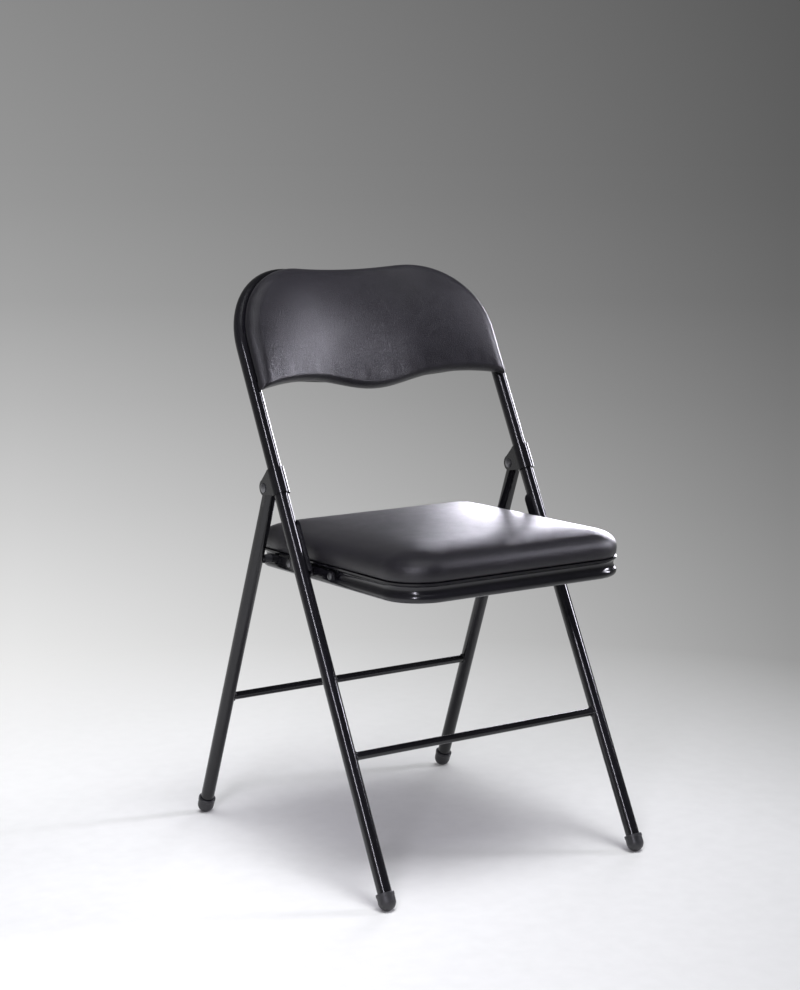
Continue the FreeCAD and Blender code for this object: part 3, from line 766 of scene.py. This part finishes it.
def back_cushion():
    """The back rest's cover: a full front, an edge turned in and a plain back."""
    points = []
    front = pad_grid(points, 0.0, pad_thickness)
    faces = grid_faces(front, PAD_COLUMNS, PAD_ROWS)
    loop = border(front)
    free = {number for column in front for number in column} - set(loop)
    place_of = {}
    for i, column in enumerate(front):
        for j, number in enumerate(column):
            place_of[number] = (i, j)
    for inset, forward in PAD_TURN_IN[:-1]:
        turned = []
        for number in loop:
            x, s = pad_place(*place_of[number], inset)
            turned.append(len(points))
            points.append(bow_point(x, PAD_BACK + forward, s))
        faces += [(loop[k - 1], loop[k], turned[k], turned[k - 1]) for k in range(len(loop))]
        place_of.update({new: place_of[old] for new, old in zip(turned, loop)})
        loop = turned
    inset, forward = PAD_TURN_IN[-1]
    back = pad_grid(points, inset, lambda x, s: forward)
    inner = border(back)
    faces += [(loop[k - 1], loop[k], inner[k], inner[k - 1]) for k in range(len(loop))]
    faces += grid_faces(back, PAD_COLUMNS, PAD_ROWS)
    mesh = mesh_from("back_cover", points, faces)
    piece = bpy.data.objects.new("back_cover", mesh)
    scene.collection.objects.link(piece)
    swell(piece, set(range(len(points))) - free, PAD_SWELL)
    pad_dimples(piece, front)
    finish_cover(piece, "back_cushion", "front_frame")


back_cushion()


# Floor, light and camera

CAMERA_PLACE = Vector((-1.5227, -2.26694, 0.9358))
CAMERA_YAW = 0.5832
CAMERA_PITCH = 0.1653
CAMERA_LENS = 73.17
CAMERA_SENSOR = 36.0
FLOOR_R = 300.0
FLOOR_STEPS = 96
FLOOR_Z = -0.0004
FLOOR_MIDDLE = Vector((-0.25, -0.37, 0.0))
FLOOR_BLEND = 3.0
# Painted shade: the backdrop and the floor grow darker across the studio, from a fixed place and direction
FALLOFF_CENTRE = Vector((-1.5, -2.25, 0.95))
FALLOFF_TURN = 0.5832
FALLOFF_RIGHT = Vector((cos(FALLOFF_TURN), -sin(FALLOFF_TURN), 0.0))
FILL_LIGHT = 0.08
OVERHEAD_LIGHT = 18.0
OVERHEAD_POWER = 40.0
OVERHEAD_FROM = Vector((0.0, -0.2, 0.98))
LAMP_COLOUR = (0.9, 0.88, 1.0)
# Name, place, target, width, height, power in watts, beam in degrees
LAMPS = [
    ("left_strip", (-2.15, -2.1, 1.95), (0.0, -0.05, 0.4), 0.12, 2.2, 48, 180),
    ("right_softbox", (2.3, -0.85, 1.55), (0.0, 0.1, 0.9), 0.4, 1.1, 5.8, 55),
    ("rear_softbox", (1.14, 0.77, 0.61), (0.12, -0.06, 0.42), 0.9, 0.38, 1.7, 40),
]


def grey(level):
    """A colour without a hue."""
    return (level, level, level)


def seen_rays(tree):
    """One for rays that show the backdrop: to the camera, in gloss and through glass."""
    path = tree.nodes.new("ShaderNodeLightPath")
    some = math_node(tree, "MAXIMUM", path.outputs["Is Camera Ray"], path.outputs["Is Glossy Ray"])
    return math_node(tree, "MAXIMUM", some, path.outputs["Is Transmission Ray"])


def falloff_right(tree, direction):
    """The backdrop grows darker towards the right: painted shade."""
    turn = vector_node(tree, "DOT_PRODUCT", direction, FALLOFF_RIGHT, "Value")
    return spread(tree, turn, 1.34, 0.52, -0.19, 0.19)


def floor_material():
    """A pale floor that takes the shadow and turns into the grey backdrop further away."""
    material, tree, shader, coords = new_material("studio_floor")
    grain = noise_node(tree, coords, 40.0, 3.0)
    shader.inputs["Roughness"].default_value = 0.9
    shader.inputs["Specular IOR Level"].default_value = 0.1
    away = vector_node(tree, "SUBTRACT", coords, FLOOR_MIDDLE)
    far = vector_node(tree, "LENGTH", away, Vector(), "Value")
    share = math_node(tree, "DIVIDE", far, math_node(tree, "ADD", far, FLOOR_BLEND))
    shade = ramp(tree, share, [
        (0.20, grey(0.84)), (0.277, grey(0.70)), (0.368, grey(0.60)), (0.52, grey(0.46)),
        (0.653, grey(0.36)), (0.793, grey(0.275)), (0.94, grey(0.232)), (1.0, grey(0.222)),
    ])
    ray = vector_node(tree, "SUBTRACT", coords, FALLOFF_CENTRE)
    direction = vector_node(tree, "NORMALIZE", ray, Vector())
    turn = vector_node(tree, "DOT_PRODUCT", direction, FALLOFF_RIGHT, "Value")
    # Painted shade: the floor's paint grows darker towards the right
    floor_painted_shade = spread(tree, turn, 1.0, 0.78, -0.1, 0.19)
    paint = ramp(tree, grain, [(0.3, (0.81, 0.81, 0.78)), (0.7, (0.84, 0.84, 0.81))])
    tree.links.new(multiply_colour(tree, paint, floor_painted_shade), shader.inputs["Base Color"])
    glow = tree.nodes.new("ShaderNodeEmission")
    tree.links.new(multiply_colour(tree, shade, falloff_right(tree, direction)), glow.inputs["Color"])
    blend = math_node(tree, "MULTIPLY", seen_rays(tree), spread(tree, far, 0.0, 1.0, 0.65, 1.6))
    mix = tree.nodes.new("ShaderNodeMixShader")
    tree.links.new(blend, mix.inputs["Fac"])
    tree.links.new(shader.outputs["BSDF"], mix.inputs[1])
    tree.links.new(glow.outputs["Emission"], mix.inputs[2])
    output = next(n for n in tree.nodes if n.type == "OUTPUT_MATERIAL")
    tree.links.new(mix.outputs["Shader"], output.inputs["Surface"])
    return material


def add_floor():
    """A large round floor just under the feet."""
    points = [Vector((0, 0, 0))]
    for i in range(FLOOR_STEPS):
        turn = 2 * pi * i / FLOOR_STEPS
        points.append(Vector((FLOOR_R * cos(turn), FLOOR_R * sin(turn), 0)))
    faces = [(0, 1 + i, 1 + (i + 1) % FLOOR_STEPS) for i in range(FLOOR_STEPS)]
    mesh = mesh_from("studio_floor", points, faces)
    floor = bpy.data.objects.new("studio_floor", mesh)
    floor.location.z = FLOOR_Z
    scene.collection.objects.link(floor)
    floor.data.materials.append(floor_material())


def set_world():
    """Soft light from overhead and a little fill, with a grey that darkens upwards behind the object."""
    world = bpy.data.worlds.new("studio")
    world.use_nodes = True
    scene.world = world
    tree = world.node_tree
    tree.nodes.clear()
    output = tree.nodes.new("ShaderNodeOutputWorld")
    fill = tree.nodes.new("ShaderNodeBackground")
    fill.inputs["Color"].default_value = (0.94, 0.95, 1.0, 1.0)
    seen = tree.nodes.new("ShaderNodeBackground")
    coords = tree.nodes.new("ShaderNodeTexCoord").outputs["Generated"]
    split = tree.nodes.new("ShaderNodeSeparateXYZ")
    tree.links.new(coords, split.inputs["Vector"])
    facing = vector_node(tree, "DOT_PRODUCT", coords, OVERHEAD_FROM, "Value")
    overhead = math_node(tree, "POWER", math_node(tree, "MAXIMUM", facing, 0.0), OVERHEAD_POWER)
    overhead = math_node(tree, "MULTIPLY", overhead, OVERHEAD_LIGHT)
    tree.links.new(math_node(tree, "ADD", overhead, FILL_LIGHT), fill.inputs["Strength"])
    shade = ramp(tree, spread(tree, split.outputs["Z"], 0.0, 1.0, 0.0, 0.5), [
        (0.0, grey(0.222)), (0.16, grey(0.190)), (1.0, grey(0.10)),
    ])
    tree.links.new(multiply_colour(tree, shade, falloff_right(tree, coords)), seen.inputs["Color"])
    mix = tree.nodes.new("ShaderNodeMixShader")
    tree.links.new(seen_rays(tree), mix.inputs["Fac"])
    tree.links.new(fill.outputs["Background"], mix.inputs[1])
    tree.links.new(seen.outputs["Background"], mix.inputs[2])
    tree.links.new(mix.outputs["Shader"], output.inputs["Surface"])


def add_lamp(name, place, target, width, height, power, beam):
    """A rectangular studio lamp that looks at a target."""
    data = bpy.data.lights.new(name, "AREA")
    data.shape = "RECTANGLE"
    data.size = width
    data.size_y = height
    data.energy = power
    data.color = LAMP_COLOUR
    data.spread = radians(beam)
    lamp = bpy.data.objects.new(name, data)
    scene.collection.objects.link(lamp)
    lamp.location = place
    lamp.rotation_euler = (Vector(target) - Vector(place)).to_track_quat("-Z", "Y").to_euler()
    lamp.visible_camera = False


def add_camera():
    """The camera at the photograph's place."""
    data = bpy.data.cameras.new("camera")
    data.lens = CAMERA_LENS
    data.sensor_width = CAMERA_SENSOR
    data.clip_end = 2 * FLOOR_R
    camera = bpy.data.objects.new("camera", data)
    scene.collection.objects.link(camera)
    camera.location = CAMERA_PLACE
    camera.rotation_euler = (pi / 2 - CAMERA_PITCH, 0, -CAMERA_YAW)
    scene.camera = camera


add_floor()
set_world()
for lamp_row in LAMPS:
    add_lamp(*lamp_row)
add_camera()
